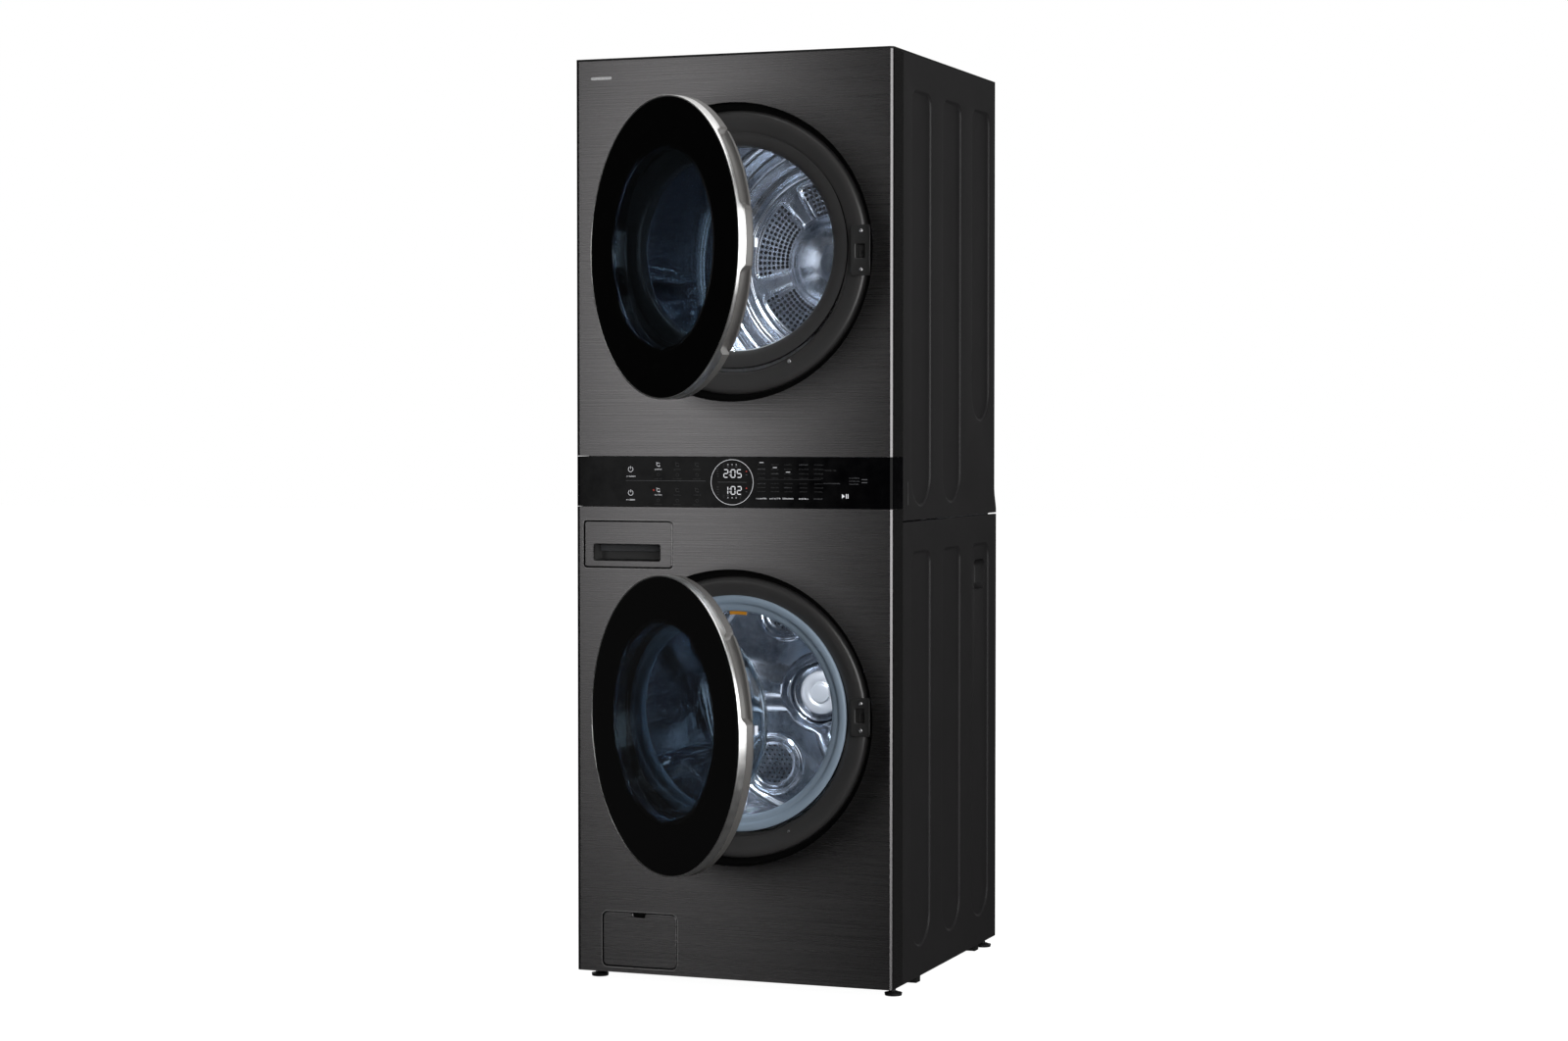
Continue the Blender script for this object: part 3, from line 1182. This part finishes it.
# ---- camera, floor and lights
CAMERA_AT = (2.2936, -6.1810, 1.1522)
CAMERA_DOWN, CAMERA_TURN = 1.816, 20.524
CAMERA_LENS = 71.23
FLOOR_HALF = 30
cam_data = bpy.data.cameras.new("camera")
cam = bpy.data.objects.new("camera", cam_data)
bpy.context.collection.objects.link(cam)
cam.location = CAMERA_AT
cam.rotation_euler = (math.radians(90 - CAMERA_DOWN), 0, math.radians(CAMERA_TURN))
cam_data.lens = CAMERA_LENS
cam_data.sensor_width = 36
bpy.context.scene.camera = cam

me = bpy.data.meshes.new("floor")
corners = [(x * FLOOR_HALF, y * FLOOR_HALF, 0) for x, y in ((-1, -1), (1, -1), (1, 1), (-1, 1))]
me.from_pydata(corners, [], [(0, 1, 2, 3)])
floor = bpy.data.objects.new("floor", me)
bpy.context.collection.objects.link(floor)
FLOOR_SEEN, FLOOR_SENT = 0.975, 0.035


def by_ray(tree, seen, other, output):
    """Shows one shader to the camera and another to every other ray."""
    path = tree.nodes.new("ShaderNodeLightPath")
    both = tree.nodes.new("ShaderNodeMixShader")
    tree.links.new(path.outputs["Is Camera Ray"], both.inputs["Fac"])
    tree.links.new(other.outputs[0], both.inputs[1])
    tree.links.new(seen.outputs[0], both.inputs[2])
    tree.links.new(both.outputs[0], tree.nodes[output].inputs["Surface"])


floor_mat = new_mat("floor_pale", (0.30, 0.30, 0.30), 0.8, 0.0, 0.1)
lit = floor_mat.node_tree.nodes["Principled BSDF"]
lit.inputs["Emission Color"].default_value = (1, 1, 1, 1)
lit.inputs["Emission Strength"].default_value = FLOOR_SEEN
dark = floor_mat.node_tree.nodes.new("ShaderNodeEmission")
dark.inputs["Strength"].default_value = FLOOR_SENT
by_ray(floor_mat.node_tree, lit, dark, "Material Output")
me.materials.append(floor_mat)

# The world is white to the camera. It lights the object only from behind, and there only from the
# left or from above.
WORLD_LEAST, WORLD_MOST = 0.012, 0.70
world = bpy.data.worlds.new("studio")
bpy.context.scene.world = world
world.use_nodes = True
wn = world.node_tree
sent = wn.nodes["Background"]
sent.inputs["Color"].default_value = (1, 1, 1, 1)
white_sky = wn.nodes.new("ShaderNodeBackground")
white_sky.inputs["Color"].default_value = (1, 1, 1, 1)
coords = wn.nodes.new("ShaderNodeTexCoord")
axes = wn.nodes.new("ShaderNodeSeparateXYZ")
wn.links.new(coords.outputs["Generated"], axes.inputs[0])


def combine(operation, a, b):
    """A maths node of two inputs, each a socket or a number."""
    n = wn.nodes.new("ShaderNodeMath")
    n.operation = operation
    for socket, value in zip(n.inputs, (a, b)):
        if isinstance(value, float):
            socket.default_value = value
        else:
            wn.links.new(value, socket)
    return n.outputs[0]


behind = spread(world, axes.outputs["Y"], 0.25, 0.62, 0.0, WORLD_MOST)
left = spread(world, axes.outputs["X"], 0.25, -0.05, 0.0, 1.0)
above = spread(world, axes.outputs["Z"], 0.45, 0.75, 0.0, 1.0)
amount = combine("MULTIPLY", behind, combine("MAXIMUM", left, above))
wn.links.new(combine("ADD", amount, WORLD_LEAST), sent.inputs["Strength"])
by_ray(wn, white_sky, sent, "World Output")
bpy.context.scene.view_settings.view_transform = "Standard"


def softbox(name, at, look, w, h, watts, color=(1, 1, 1)):
    """A rectangular light at a place, turned towards another."""
    d = bpy.data.lights.new(name, "AREA")
    d.shape = "RECTANGLE"
    d.size, d.size_y = w, h
    d.energy = watts
    d.color = color
    o = bpy.data.objects.new(name, d)
    bpy.context.collection.objects.link(o)
    o.location = at
    o.rotation_euler = (Vector(look) - Vector(at)).to_track_quat("-Z", "Y").to_euler()


softbox("front_left", (-2.72, -6.6, 1.6), (0, 0, 1.2), 0.85, 2.7, 17)
softbox("right", (3.4, -2.6, 1.3), (0.3, -0.7, 1.0), 6.0, 3.2, 230)
softbox("top", (0.3, -0.9, 4.6), (0, -0.1, 0.9), 3.0, 3.4, 60)
COOL, COOLER = (0.90, 0.95, 1.0), (0.86, 0.93, 1.0)
softbox("washer_lamp", (0.06, FRONT + 0.150, WM + 0.22), (0, 0.18, WM - 0.08), 0.10, 0.03, 2.2, COOLER)
softbox("dryer_lamp", (0.10, FRONT + 0.095, DM + 0.24), (0, 0.25, DM - 0.05), 0.16, 0.03, 3.0, COOL)
